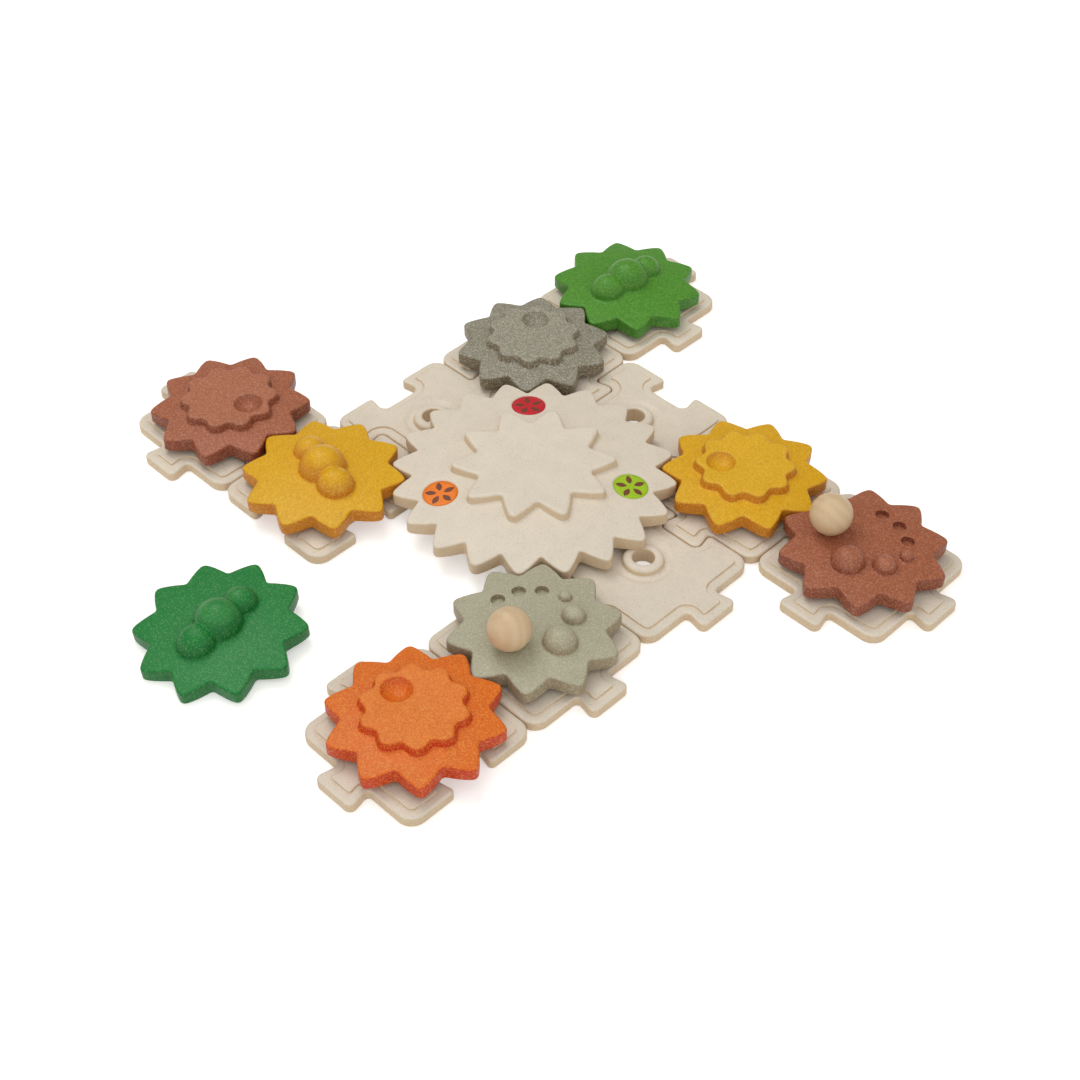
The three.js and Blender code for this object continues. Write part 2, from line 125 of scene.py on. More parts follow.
# %% Outline of a ring of petals
TIP_LENGTH = 0.95
TIP_WIDTH = 4.8
SIDE_BULGE = 0.95
SWELL_SHARE = 0.68


def ring_from_half(half, petals, valley_arm):
    """half runs from a tip to a sharp valley. The last valley_arm of it gives way to a curve that
    bends at the valley, then the half is mirrored in the valley's line and turned to each petal."""
    axis = np.exp(1j * np.pi / petals)
    kept = half[abs(half - half[-1]) > valley_arm]
    foot = kept[-1]
    heading = foot - kept[-2]
    reach = -(np.conj(axis) * foot).imag / (np.conj(axis) * heading).imag
    corner = foot + reach * heading
    valley = bend_curve(foot, corner, axis**2 * np.conj(foot), np.linspace(0, 0.5, 5)[1:])
    rounded = np.concatenate([kept, valley])
    mirrored = (axis**2 * np.conj(rounded))[::-1][1:-1]
    turns = axis ** (2 * np.arange(petals))
    return (turns[:, None] * np.concatenate([rounded, mirrored])).ravel()


def petal_ring(tip, root, petals, valley_arm):
    """Petals of one gear. The tip is a curve that bends past its end, and the side bends at a point
    that stands SIDE_BULGE off the straight line, SWELL_SHARE of the way from valley to tip."""
    valley = root * np.exp(1j * np.pi / petals)
    shoulder = complex(tip - TIP_LENGTH, TIP_WIDTH / 2)
    along = shoulder - valley
    bulge = valley + SWELL_SHARE * along + 1j * SIDE_BULGE * along / abs(along)
    end = bend_curve(np.conj(shoulder), tip + TIP_LENGTH, shoulder, np.linspace(0.5, 1, 5)[:-1])
    side = bend_curve(shoulder, bulge, valley, np.linspace(0, 1, 20))
    return ring_from_half(np.concatenate([end, side]), petals, valley_arm)


def lobe_ring(radius, lobe_depth, lobes, valley_arm):
    """Round lobes: one curve from valley to valley that bends above each lobe's top."""
    valley = (radius - lobe_depth) * np.exp(1j * np.pi / lobes)
    over = 2 * radius - valley.real
    half = bend_curve(np.conj(valley), over, valley, np.linspace(0.5, 1, 16))
    return ring_from_half(half, lobes, valley_arm)


# %% Outlines of the gears, in millimetres
PETALS, BIG_PETALS = 10, 20
SMALL_TIP, SMALL_ROOT = 49.8, 39.3
BIG_TIP, BIG_ROOT = 86.28, 73.28
STAR_RADIUS, LOBE_DEPTH = 30.6, 5.2
BIG_STAR_TIP, BIG_STAR_ROOT = 50.0, 35.5
PETAL_ARM, STAR_ARM = 1.5, 2.4

small_outline = petal_ring(SMALL_TIP, SMALL_ROOT, PETALS, PETAL_ARM)
big_outline = petal_ring(BIG_TIP, BIG_ROOT, BIG_PETALS, PETAL_ARM)
star_outline = lobe_ring(STAR_RADIUS, LOBE_DEPTH, PETALS, STAR_ARM)
big_star_outline = petal_ring(BIG_STAR_TIP, BIG_STAR_ROOT, PETALS, STAR_ARM)
print("points round the small gear", len(small_outline), "and the big one", len(big_outline))

# %% [markdown]
# ## Surfaces from outlines
# Two kinds of surface make every pressed piece. A wall is an outline carried along a profile: at each
# step the outline shrinks by an inset and sits at a height. A face fills the space between two closed
# outlines with triangles. Where it carries bumps or dimples, extra points lie in rings round them, and
# one formula lifts every point to its height.


# %% Walls and faces
def lifted(flat, height):
    """Complex points with a height for each, as x, y and z."""
    return np.stack([flat.real, flat.imag, height + 0 * flat.real], axis=-1)


def wall_loops(outline, profile):
    """The outline at each (inset, height) of the profile: point - inset * outward."""
    inset, height = np.array(profile, float).T[:, :, None]
    return lifted(outline - inset * outward(outline), height)


def turned_loops(profile, points):
    """A circle at each (radius, height) of the profile, as on a lathe."""
    radius, height = np.array(profile, float).T[:, :, None]
    return lifted(radius * circle(1, points), height)


def skin(loops):
    """Joins each loop to the next with four-sided faces, all the way round."""
    rows, columns = loops.shape[:2]
    corner = np.arange(rows * columns).reshape(rows, columns)
    beside = np.roll(corner, -1, axis=1)
    faces = np.stack([corner[:-1], beside[:-1], beside[1:], corner[1:]], axis=-1)
    return loops.reshape(-1, 3), faces.reshape(-1, 4)


def within(points, loop):
    """True where a line from the point to the right crosses the closed loop an odd number of times."""
    start, end, spot = loop, np.roll(loop, -1), points[:, None]
    spans = (start.imag > spot.imag) != (end.imag > spot.imag)
    climb = np.where(spans, end.imag - start.imag, 1)
    crossing = start.real + (spot.imag - start.imag) / climb * (end.real - start.real)
    return (spans & (spot.real < crossing)).sum(axis=1) % 2 == 1


def filled(outer, inner=None, extra=(), height=None, level=0.0, facing=1):
    """Triangles between an outer loop and an inner one, through the extra points. height gives each
    point's rise, and facing is 1 upwards and -1 downwards."""
    loops = [outer] if inner is None else [outer, inner]
    flat = np.concatenate([*loops, *extra])
    starts = np.cumsum([0] + [len(loop) for loop in loops])
    runs = [np.arange(first, first + len(loop)) for first, loop in zip(starts, loops)]
    edges = np.concatenate([np.stack([run, np.roll(run, -1)], 1) for run in runs])
    found = delaunay_2d_cdt(
        np.stack([flat.real, flat.imag], 1).tolist(), edges.tolist(), [], 1, 1e-7, False)
    plane = np.array(found[0], float) @ np.array([1, 1j])
    faces = np.array(found[2])
    middle = plane[faces].mean(axis=1)
    inside = within(middle, outer)
    if inner is not None:
        inside &= ~within(middle, inner)
    faces = faces[inside]
    rise = 0 if height is None else height(plane)
    return lifted(plane, level + rise), faces[:, ::facing]


def as_flat(points):
    """3-D points as complex numbers."""
    return points[..., 0] + 1j * points[..., 1]


def arc(centre, radius, start, end, steps):
    """Points of an arc in a profile, from one angle in degrees to another."""
    angle = np.radians(np.linspace(start, end, steps))
    return np.stack([centre[0] + radius * np.cos(angle), centre[1] + radius * np.sin(angle)], 1)


# %% [markdown]
# ## From arrays to a piece
# A piece starts as several surfaces whose rims share the same points. Welding them closes the body.
# Each piece stands for one node of the construction model, rides on the same body, and takes the
# finish of the same material slot.

# %% Make a piece
slot_of = {part["node"]: part["material_slot"] for part in frame["record"]["subparts"]}
body_of = {n: body for body, nodes in frame["record"]["behaviour"]["bodies"].items() for n in nodes}
finishes = {}
WELD = 2e-6


def turned_to(place):
    """A numpy function that takes rows of points in millimetres through a matrix."""
    matrix = np.array(place)
    return lambda points: points @ matrix[:3, :3].T + matrix[:3, 3]


def make_piece(name, node, surfaces, place, finish=None):
    """Welds the surfaces into one closed body, and puts it in the place of a node. With a finish of its
    own it is an extra piece that rides with the node and leaves it in view."""
    starts = np.cumsum([0] + [len(points) for points, _ in surfaces])
    points = turned_to(place)(np.concatenate([points for points, _ in surfaces])) * MM
    faces = [face for start, (_, part) in zip(starts, surfaces) for face in (part + start).tolist()]
    mesh = bpy.data.meshes.new(name)
    mesh.from_pydata(points, [], faces)
    shape = bmesh.new()
    shape.from_mesh(mesh)
    bmesh.ops.remove_doubles(shape, verts=shape.verts, dist=WELD)
    shape.to_mesh(mesh)
    open_edges = sum(not edge.is_manifold for edge in shape.edges)
    shape.free()
    mesh.shade_smooth()
    mesh.materials.append(finish or finishes[slot_of[node]])
    piece = add_object(name, mesh)
    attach(piece, body_of[node])
    if finish is None:
        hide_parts(node)
    print(name, "faces", len(mesh.polygons), "open edges", open_edges)


# %% [markdown]
# ## Shader helpers
# A material is a graph of nodes. Small functions keep the graphs short to write: one for each kind of
# node that comes back often, and one that opens a node group with named sockets.


# %% Add nodes and groups
def fill_inputs(tree, node, inputs):
    """Links the inputs that are given sockets, and sets the others to their values."""
    for key, value in inputs.items():
        if isinstance(value, bpy.types.NodeSocket):
            tree.links.new(value, node.inputs[key])
        else:
            node.inputs[key].default_value = value


def add_node(tree, kind, inputs=None, **settings):
    """Adds a shader node with its settings, and fills its inputs. "Math" adds a ShaderNodeMath."""
    made = tree.nodes.new("ShaderNode" + kind)
    for key, value in settings.items():
        setattr(made, key, value)
    fill_inputs(tree, made, inputs or {})
    return made


def do_math(tree, operation, a, b=0.0, c=0.0, clamp=False):
    """One Math node, from sockets or numbers."""
    made = add_node(tree, "Math", {0: a, 1: b, 2: c}, operation=operation, use_clamp=clamp)
    return made.outputs[0]


def do_vector(tree, operation, inputs, output="Vector"):
    """One Vector Math node."""
    return add_node(tree, "VectorMath", inputs, operation=operation).outputs[output]


def mix_colours(tree, share, first, second):
    """One colour Mix node."""
    inputs = {"Factor": share, 6: first, 7: second}
    return add_node(tree, "Mix", inputs, data_type="RGBA").outputs[2]


def fade(tree, value, start, end, low=0.0, high=1.0, kind="SMOOTHSTEP"):
    """One Map Range node: low at start and high at end."""
    inputs = {0: value, 1: start, 2: end, 3: low, 4: high}
    return add_node(tree, "MapRange", inputs, interpolation_type=kind).outputs[0]


def noise(tree, place, scale, detail):
    """One Noise node: soft random values about 0.5."""
    inputs = {"Vector": place, "Scale": scale, "Detail": detail}
    return add_node(tree, "TexNoise", inputs).outputs[0]


def height_of(tree, vector):
    """The Z part of a vector."""
    return add_node(tree, "SeparateXYZ", {0: vector}).outputs["Z"]


def place_in_mm(tree):
    """Object coordinates in millimetres."""
    place = add_node(tree, "TexCoord").outputs["Object"]
    return do_vector(tree, "SCALE", {0: place, "Scale": 1 / MM})


def open_group(name, inputs, outputs):
    """A new shader group, from the (name, socket type) of each input and output."""
    group = bpy.data.node_groups.new(name, "ShaderNodeTree")
    for side, sockets in (("INPUT", inputs), ("OUTPUT", outputs)):
        for label, kind in sockets:
            group.interface.new_socket(label, in_out=side, socket_type=kind)
    return group, group.nodes.new("NodeGroupInput").outputs, group.nodes.new("NodeGroupOutput")


def srgb(red, green, blue):
    """A colour as a screen shows it, 0 to 255, as the linear colour that a shader needs."""
    share = np.array([red, green, blue]) / 255
    linear = np.where(share <= 0.04045, share / 12.92, ((share + 0.055) / 1.055) ** 2.4)
    return (*linear.tolist(), 1.0)


# %% [markdown]
# ## Pressed wood
# Pressed wood is sawdust, glue and dye under heat. Its face shows single grains: most take the dye,
# some stay pale and some go dark. A Voronoi cell has one random value, so picking cells by that value
# picks grains. The slope mixes a darker, deeper colour onto the steep faces: that is painted shade,
# for the light from above that reaches them less. The level tops of the stars are a little paler. Their height
# finds them.

# %% The group that makes pressed wood
COLOUR, VALUE = "NodeSocketColor", "NodeSocketFloat"
PALE_GRAIN, DARK_GRAIN, FINE_GRAIN = 0.72, 0.66, 0.4
FINE_SHARE, FINE_SHOW = 0.35, 0.12
GRAIN_EDGE = (-1.6, 1.35)
MOTTLE_LUMP, FINE_LUMP = 0.6, 0.25
DARK_SHIFT = (37, 11, 23)
CLOUDS_PER_MM, SPOTS_PER_MM = 0.09, 0.9
TONE_SPAN = 0.16
ROUGH_LEAST, ROUGH_SPAN = 0.36, 0.16
STEEP = 0.3
PALE_TOP_FROM, PALE_TOP_TO = (23.5, 26.5), (28.0, 32.0)
PALE_TOP_SHARE = 0.12


def grains(tree, place, size, share):
    """Cells of a given size in millimetres: 1 inside the chosen share of them, softly 0 outside."""
    cells = add_node(tree, "TexVoronoi", {"Vector": place, "Scale": 1 / size})
    chance = add_node(tree, "SeparateColor", {0: cells.outputs["Color"]}).outputs[0]
    picked = do_math(tree, "LESS_THAN", chance, share)
    soft = do_math(tree, "MULTIPLY_ADD", cells.outputs["Distance"], *GRAIN_EDGE, clamp=True)
    return do_math(tree, "MULTIPLY", picked, soft)


def pressed_wood_group():
    """Grains, clouds of tone and a slope mask that paints shade on steep faces, mixed to the colour, roughness and
    height of the wood.
    """
    wood_colours = [(label, COLOUR) for label in ("Dye", "Painted wall shade", "Pale grain", "Dark grain")]
    shares = [(label, VALUE) for label in ("Pale share", "Dark share", "Grain show", "Steep below")]
    tree, given, result = open_group(
        "pressed wood", wood_colours + shares, [("Color", COLOUR), ("Roughness", VALUE), ("Height", VALUE)])
    in_mm = place_in_mm(tree)
    normal = add_node(tree, "NewGeometry").outputs["Normal"]
    # Painted shade: steep faces take the darker wall shade colour, and level faces keep the dye.
    top = fade(tree, height_of(tree, normal), STEEP, given["Steep below"])
    ground = mix_colours(tree, top, given["Painted wall shade"], given["Dye"])
    level = height_of(tree, in_mm)
    # Level star tops, found by their height, are mixed a little towards the pale grain colour.
    above = fade(tree, level, *PALE_TOP_FROM, high=PALE_TOP_SHARE, kind="LINEAR")
    below = fade(tree, level, *PALE_TOP_TO, low=1.0, high=0.0, kind="LINEAR")
    ground = mix_colours(tree, do_math(tree, "MULTIPLY", above, below), ground, given["Pale grain"])

    cloud, mottle = noise(tree, in_mm, CLOUDS_PER_MM, 3.0), noise(tree, in_mm, SPOTS_PER_MM, 2.0)
    both = do_math(tree, "ADD", cloud, mottle)
    tone = do_math(tree, "MULTIPLY_ADD", both, TONE_SPAN, 1 - TONE_SPAN)
    speckled = do_vector(tree, "SCALE", {0: ground, "Scale": tone})

    elsewhere = do_vector(tree, "ADD", {0: in_mm, 1: DARK_SHIFT})
    dark = grains(tree, elsewhere, DARK_GRAIN, given["Dark share"])
    fine = grains(tree, in_mm, FINE_GRAIN, FINE_SHARE)
    pale = grains(tree, in_mm, PALE_GRAIN, given["Pale share"])
    show = given["Grain show"]
    layers = [(dark, show, "Dark grain"), (fine, FINE_SHOW, "Pale grain"), (pale, show, "Pale grain")]
    for mask, amount, dye in layers:
        speckled = mix_colours(tree, do_math(tree, "MULTIPLY", mask, amount), speckled, given[dye])

    rough = do_math(tree, "MULTIPLY_ADD", mottle, ROUGH_SPAN, ROUGH_LEAST)
    lump = do_math(tree, "MULTIPLY_ADD", mottle, MOTTLE_LUMP, do_math(tree, "MULTIPLY", fine, FINE_LUMP))
    fill_inputs(tree, result, {"Color": speckled, "Roughness": rough, "Height": lump})
    return tree


pressed_wood = pressed_wood_group()
print("pressed wood nodes", len(pressed_wood.nodes))

# %% [markdown]
# ## One material for each dye
# Every dyed batch uses the same group with its own colours. The shader itself stays in the material,
# with the height turned into a fine bump.

# %% Dyed materials
GRAIN_BUMP, BUMP_STRENGTH = 0.06 * MM, 0.8
WOOD_SHEEN = 0.32
# Each row: dye, painted wall shade for steep faces, pale grain and dark grain.
DYES_AND_WALL_SHADES = {
    "cream": ((221, 210, 192), (212, 189, 156), (230, 222, 206), (168, 142, 110)),
    "gray": ((134, 130, 114), (118, 106, 86), (206, 200, 180), (80, 74, 58)),
    "light gray": ((172, 168, 142), (150, 136, 108), (216, 214, 194), (128, 120, 92)),
    "green": ((72, 136, 38), (54, 118, 26), (134, 180, 78), (36, 92, 24)),
    "dark green": ((6, 122, 50), (4, 104, 42), (118, 178, 104), (4, 78, 32)),
    "yellow": ((217, 163, 6), (196, 116, 14), (242, 206, 82), (180, 110, 14)),
    "orange": ((222, 107, 22), (196, 50, 12), (246, 178, 80), (184, 58, 14)),
    "brown": ((158, 90, 62), (130, 64, 42), (214, 156, 120), (100, 46, 30)),
}
PLAIN_GRAIN = (0.32, 0.22, 0.45, 1.0)
GRAIN = {"cream": (0.12, 0.08, 0.35, 0.8), "gray": (0.32, 0.22, 0.6, 1.0),
         "light gray": (0.26, 0.2, 0.4, 1.0), "dark green": (0.24, 0.2, 0.4, 1.0)}


def new_material(name, view_colour):
    """An empty node material with its Principled shader."""
    material = bpy.data.materials.new(name)
    material.use_nodes = True
    material.diffuse_color = view_colour
    return material, material.node_tree, material.node_tree.nodes["Principled BSDF"]


def dyed_wood(name, wood_colours, grain):
    """Pressed wood, from four colours (dye, painted wall shade, pale grain, dark grain) and four values in the
    order of the group's inputs.
    """
    material, tree, shader = new_material(name, wood_colours[0])
    wood = add_node(tree, "Group", dict(enumerate([*wood_colours, *grain])), node_tree=pressed_wood, name="wood")
    bump = add_node(tree, "Bump", {
        "Height": wood.outputs["Height"], "Distance": GRAIN_BUMP, "Strength": BUMP_STRENGTH})
    fill_inputs(tree, shader, {
        "Base Color": wood.outputs["Color"], "Roughness": wood.outputs["Roughness"],
        "Normal": bump.outputs[0], "Specular IOR Level": WOOD_SHEEN})
    return material


for colour, wood_colours in DYES_AND_WALL_SHADES.items():
    finishes[f"{colour.replace(' ', '_')}_wood"] = dyed_wood(
        f"{colour} pressed wood", [srgb(*dye) for dye in wood_colours], GRAIN.get(colour, PLAIN_GRAIN))
print("dyed materials", len(finishes))

# %% [markdown]
# ## Turned hardwood
# The pegs, the knob stems and the ball knobs are turned from pale beech. A lathe shows the grain as
# growth rings: cylinders in the tree that the ball cuts through, so they appear as ovals on its sides.
# A wave texture in rings, bent by noise, does that. Noise drawn out along the grain adds the pores.


# %% Beech
EARLY_WOOD, LATE_WOOD = srgb(222, 201, 166), srgb(192, 152, 108)
RINGS_PER_MM, RING_SHOW, PORE_SHOW = 0.055, 0.16, 0.65
PORE_STRETCH = (0.25, 2.4, 2.4)


def beech_group():
    """Growth rings along the object's X axis, with fine pores: a colour and a roughness."""
    woods = [("Early wood", COLOUR), ("Late wood", COLOUR)]
    tree, given, result = open_group("beech grain", woods, [("Color", COLOUR), ("Roughness", VALUE)])
    in_mm = place_in_mm(tree)
    rings = add_node(
        tree, "TexWave",
        {"Vector": in_mm, "Scale": RINGS_PER_MM, "Distortion": 3.5, "Detail": 3.0, "Detail Scale": 0.5},
        wave_type="RINGS", rings_direction="X").outputs["Fac"]
    pores = noise(tree, do_vector(tree, "MULTIPLY", {0: in_mm, 1: PORE_STRETCH}), 1.0, 4.0)
    share = do_math(tree, "MULTIPLY_ADD", rings, RING_SHOW, do_math(tree, "MULTIPLY", pores, PORE_SHOW))
    fill_inputs(tree, result, {
        "Color": mix_colours(tree, share, given["Early wood"], given["Late wood"]),
        "Roughness": do_math(tree, "MULTIPLY_ADD", pores, 0.2, 0.32)})
    return tree


def beech_material():
    """Satin beech."""
    material, tree, shader = new_material("beech", srgb(211, 186, 150))
    grain = add_node(tree, "Group", {0: EARLY_WOOD, 1: LATE_WOOD}, node_tree=beech_group())
    fill_inputs(tree, shader, {
        "Base Color": grain.outputs["Color"], "Roughness": grain.outputs["Roughness"],
        "Specular IOR Level": 0.4})
    return material


finishes["beech"] = beech_material()
print("finishes", sorted(finishes))

# %% [markdown]
# ## The puzzle plate
# A plate is a square with a dovetail tab on two sides and a matching socket on the other two. Its
# outline is a list of corners, each with its own radius, so it can be drawn again further in:
# straight sides move inwards, and the arcs keep their centres. The raised middle, the round dish and
# the ring that carries a gear are pressed into the top.

# %% Corners of the plate
PLATE_HALF, PLATE_GAP = 44.775, 0.45
TAB_LENGTH, TAB_NECK, TAB_HEAD = 14.7, 11.7, 15.0
CORNER_RADIUS, TAB_RADIUS, NECK_RADIUS = 9.5, 4.0, 2.5
ARC_STEPS = 9


def dovetail_side(reach, play):
    """The square's corner at the lower right, then the four corners of a tab or socket on the right."""
    half = np.array([complex(PLATE_HALF, -TAB_NECK - play), complex(PLATE_HALF + reach, -TAB_HEAD - play)])
    return np.array([complex(PLATE_HALF, -PLATE_HALF), *half, *half.conj()[::-1]])


def plate_corners():
    """Corners anticlockwise as (points, radii): tabs face +X and -Y, sockets face +Y and -X."""
    slant = (TAB_HEAD - TAB_NECK) / TAB_LENGTH
    tab = dovetail_side(TAB_LENGTH, 0)
    socket = dovetail_side(-TAB_LENGTH, PLATE_GAP * (math.hypot(1, slant) + slant))
    tab_radii = np.array([CORNER_RADIUS, NECK_RADIUS, TAB_RADIUS, TAB_RADIUS, NECK_RADIUS])
    socket_radii = tab_radii + PLATE_GAP * np.array([0, 1, 1, 1, 1])
    points = np.concatenate([side * 1j**turn for turn, side in enumerate([tab, socket, socket, tab])])
    return points, np.concatenate([tab_radii, socket_radii, socket_radii, tab_radii])


def corner_turns(points):
    """Direction into and out of each corner, and the signed turn between them."""
    into = points - np.roll(points, 1)
    into /= abs(into)
    out_of = np.roll(into, -1)
    return into, out_of, np.angle(out_of / into)


def moved_in(points, radii, distance, least_radius):
    """The same corners with every side moved inwards by a distance."""
    into, out_of, turn = corner_turns(points)
    step = 1j * (into + out_of) * distance / (1 + (np.conj(into) * out_of).real)
    grown = radii - distance * np.sign(turn)
    return points + step, np.maximum(grown, least_radius)


def rounded(points, radii):
    """One loop through the corners, with each corner an arc of ARC_STEPS points."""
    into, _, turn = corner_turns(points)
    start = points - into * radii * np.tan(abs(turn) / 2)
    centre = start + 1j * into * radii * np.sign(turn)
    shares = np.linspace(0, 1, ARC_STEPS)
    return (centre[:, None] + (start - centre)[:, None] * np.exp(1j * turn[:, None] * shares)).ravel()


corners, corner_radii = plate_corners()
print("corners", len(corners), "points in the loop", len(rounded(corners, corner_radii)))

# %% Profile of the plate's edge, the step and the ring
BAND_TOP, BAND_WIDTH = 6.5, 6.0
PLATEAU_TOP = 7.3
BORE_RADIUS = 6.6
RING_RADIUS, RING_TOP, RING_FOOT = 12.3, 10.7, 1.5
DISH_RADIUS, DISH_FLOOR = 17.5, 6.1
ROUND_POINTS = 96
HOLD = 0.35


def loops_at(points, radii, steps, least_radius):
    """The rounded outline at each (inset, height), with every arc drawn about its own centre."""
    return np.array([
        lifted(rounded(*moved_in(points, radii, inset, least_radius)), height) for inset, height in steps])


def ease(start, end, steps):
    """An S-curve of a profile: even steps along, and the height goes as 3t^2 - 2t^3 of the way."""
    share = np.linspace(0, 1, steps)
    along = start[0] + (end[0] - start[0]) * share
    height = start[1] + (end[1] - start[1]) * share**2 * (3 - 2 * share)
    return np.stack([along, height], 1)


def plate_surfaces():
    """Underside, edge, step, raised middle, dish, ring and bore of one plate."""
    bottom, edge = 0.7, 1.9
    outside = [(bottom + HOLD, 0), *arc((bottom, bottom), bottom, 270, 180, 4)]
    outside += [*arc((edge, BAND_TOP - edge), edge, 180, 90, 7), (edge + HOLD, BAND_TOP)]
    outer = loops_at(corners, corner_radii, outside, least_radius=0.05)
    inner_corners, inner_radii = moved_in(corners, corner_radii, BAND_WIDTH, least_radius=1.5)
    half_step, groove, sunk = 0.22, 0.7, 0.4
    foot, low = -half_step - 2 * groove, BAND_TOP - sunk
    step = [(foot - HOLD, BAND_TOP), *ease((foot, BAND_TOP), (-half_step, low), 6)]
    step += [*ease((-half_step, low), (half_step, PLATEAU_TOP), 9)[1:]]
    step += [(half_step + HOLD, PLATEAU_TOP)]
    inner = loops_at(inner_corners, inner_radii, step, least_radius=0.1)
    side = np.concatenate([outer, inner])

    half_slope, bore_edge = 2.0, 1.4
    brink = DISH_RADIUS + half_slope
    middle = [(brink + HOLD, PLATEAU_TOP)]
    middle += [*ease((brink, PLATEAU_TOP), (DISH_RADIUS - half_slope, DISH_FLOOR), 10)]
    crest = RING_TOP - DISH_FLOOR - RING_FOOT
    middle += [*arc((RING_RADIUS + RING_FOOT, DISH_FLOOR + RING_FOOT), RING_FOOT, 270, 180, 7)]
    middle += [*arc((RING_RADIUS - crest, RING_TOP - crest), crest, 0, 90, 9)[1:]]
    middle += [*arc((BORE_RADIUS + bore_edge, RING_TOP - bore_edge), bore_edge, 90, 180, 5)]
    middle += [*arc((BORE_RADIUS + bottom, bottom), bottom, 180, 270, 4), (BORE_RADIUS + bottom + HOLD, 0)]
    hub = turned_loops(middle, ROUND_POINTS)
    top = filled(as_flat(side[-1]), as_flat(hub[0]), level=PLATEAU_TOP)
    return [skin(side), skin(hub), top, filled(as_flat(side[0]), as_flat(hub[-1]), facing=-1)]


plate_shape = plate_surfaces()
print("plate points", sum(len(points) for points, _ in plate_shape))

# %% [markdown]
# ## Laying out the plates
# The middle plate lies under the big gear. Every other plate is one pitch away from a neighbour, and
# is turned by quarter turns so that its tabs meet the sockets beside it.

# %% Place the twelve plates
PITCH = 90.0
joint_of = {joint["name"]: Vector(joint["pos_m"]) / MM for joint in frame["joints"]}
big_axis = joint_of["big_gear_spin"]
PLATES = {
    "centre": (0, 0, 0), "empty_left": (-1, 0, 1), "empty_top": (0, 1, 0), "empty_right": (1, 0, 0),
    "gray": (-1, 1, 1), "green": (-1, 2, 1), "yellow_left": (-1, -1, 2), "brown_left": (-2, -1, 3),
    "yellow_right": (1, 1, 0), "brown_right": (2, 1, 0), "light_gray": (1, -1, 0), "orange": (1, -2, 3),
}
for plate, (column, row, turns) in PLATES.items():
    spot = Vector((big_axis.x + PITCH * column, big_axis.y + PITCH * row, 0))
    place = Matrix.Translation(spot) @ Matrix.Rotation(turns * math.pi / 2, 4, "Z")
    make_piece(f"puzzle_plate_{plate}", f"plate_{plate}", plate_shape, place)

# %% [markdown]
# ## Domed faces
# A gear's top is a low dome, whose height depends only on the distance from the axis. It needs points
# all over it, spread as evenly as the seeds of a sunflower: each turns on from the last one by the
# golden angle, and its distance grows with the square root of its number.

# %% Domes and the points that carry them
THICKNESS = 8.0
CROWN, BIG_CROWN = 4.0, 6.5
FACE_SPACING, BIG_FACE_SPACING = 2.2, 2.8
GOLDEN_ANGLE = math.pi * (3 - math.sqrt(5))


def dome_over(rim, crown):
    """Rise of a dome at any point: crown (1 - (distance / rim)^2)."""
    return lambda points: crown * (1 - (abs(points) / rim) ** 2)


small_dome = dome_over(SMALL_TIP, CROWN)
big_dome = dome_over(BIG_TIP, BIG_CROWN)


def seeds(radius, spacing):
    """Even points over a disc, about one in each square of the spacing."""
    number = np.arange(int(math.pi * (radius / spacing) ** 2))
    return spacing * np.sqrt(number / math.pi) * np.exp(1j * GOLDEN_ANGLE * number)


def face_points(rim, spacing, hollow=None, features=()):
    """Seeds inside the rim, outside a hollow loop, and clear of every (profile, centre) of the features."""
    margin = 0.4 * spacing
    points = seeds(abs(rim).max(), spacing)
    keep = within(points, rim - margin * outward(rim))
    if hollow is not None:
        keep &= ~within(points, hollow + margin * outward(hollow))
    for profile, centre in features:
        keep &= abs(points - centre) > profile[0, 0] + margin
    return points[keep]


print("seeds on a small face", len(seeds(SMALL_TIP, FACE_SPACING)))

# %% [markdown]
# ## Bumps, dimples and holes
# Everything on a gear's face is round, so it is described by a profile: height against distance from
# its own middle. A bump is half a ball with a small fillet at its foot, and a dimple is part of a ball
# with a rounded lip. Rings of points follow each profile, and its height is added to the dome's.

# %% Profiles of the round features
BUMP_POINTS = 56


def bump_profile(radius, fillet):
    """Half a ball on a flat: the fillet's arc touches the flat at sqrt(R^2 + 2Rf) and then the ball."""
    reach = math.sqrt(radius**2 + 2 * radius * fillet)
    touch = math.degrees(math.asin(fillet / (radius + fillet)))
    foot = arc((reach, fillet), fillet, 270, 180 + touch, 7)
    ball = arc((0, 0), radius, touch, 90, 16)[1:]
    return np.concatenate([foot, ball])


def dimple_profile(mouth, depth, lip):
    """Part of a ball sunk into a flat: the lip's arc touches the flat, then the ball from outside."""
    ball = (mouth**2 + depth**2) / (2 * depth)
    reach = math.sqrt((ball + lip) ** 2 - (ball - depth + lip) ** 2)
    lean = math.degrees(math.asin(reach / (ball + lip)))
    edge = arc((reach, -lip), lip, 90, 90 + lean, 6)
    bowl = arc((0, ball - depth), ball, lean - 90, -90, 14)[1:]
    return np.concatenate([edge, bowl])


def hole_profile(radius, depth, lip):
    """A blind hole with a rounded lip, walls that draw in a little, and a rounded floor."""
    draft = 0.12
    edge = arc((radius + lip, -lip), lip, 90, 170, 5)
    floor = arc((radius - draft - lip, lip - depth), lip, -10, -90, 5)
    return np.concatenate([edge, floor, [(0.5 * radius, -depth), (0, -depth)]])


def rise_of(profile, centre):
    """The height of a round feature at any point: its profile read at the distance from its middle."""
    distance, height = profile[::-1].T
    return lambda points: np.interp(abs(points - centre), distance, height)


def face_height(dome, features):
    """The height of a face at any point: its dome and every (profile, centre) of its features."""
    return lambda points: dome(points) + sum(rise_of(*feature)(points) for feature in features)


def rings_of(profile, centre, points=BUMP_POINTS):
    """Rings of points at the profile's distances, and one point in the middle."""
    distance = profile[:-1, 0]
    return np.append((centre + distance[:, None] * circle(1, points)).ravel(), centre)


